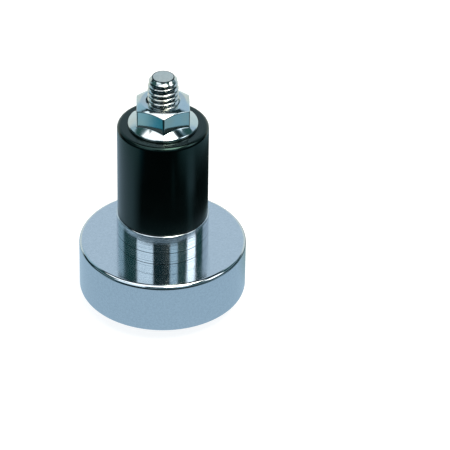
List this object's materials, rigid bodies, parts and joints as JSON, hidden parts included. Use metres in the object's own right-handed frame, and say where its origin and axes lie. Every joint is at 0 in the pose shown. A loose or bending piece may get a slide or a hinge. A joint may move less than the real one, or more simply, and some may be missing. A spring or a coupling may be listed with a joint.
{
  "type": "bar end",
  "caption": "Expanding handlebar end: chrome weight with a spigot, rubber sleeve, countersunk socket screw and flange nut that squeezes the sleeve to grip inside the bar.",
  "frame": {"origin": "centre of the flat land round the screw's recess, on which the part stands", "axes": "+Z along the screw, from the weight's outer face towards the inside of the handlebar; a corner of the nut points to -Y"},
  "size_m": [0.0324, 0.0324, 0.0507],
  "materials": {
    "chrome": "bright chrome over fine turning marks",
    "rubber": "smooth moulded, half gloss",
    "zinc_screw": "zinc plated",
    "zinc_nut": "zinc plated, bluish"
  },
  "bodies": {
    "weight": {"weight": "chrome", "rubber_sleeve": "rubber"},
    "screw": {"screw": "zinc_screw"},
    "nut": {"flange_nut": "zinc_nut"}
  },
  "joints": [
    {"name": "screw_turn", "type": "hinge", "parent": "weight", "child": "screw", "pos_m": [0, 0, 0], "axis": [0, 0, 1], "range_deg": [0, 720]},
    {"name": "nut_travel", "type": "slide", "parent": "weight", "child": "nut", "axis": [0, 0, 1], "range_m": [-0.002, 0], "deforming": ["rubber_sleeve"]}
  ],
  "couplings": [
    {"joint": "nut_travel", "follows": "screw_turn", "m_per_rad": -0.00015915}
  ]
}
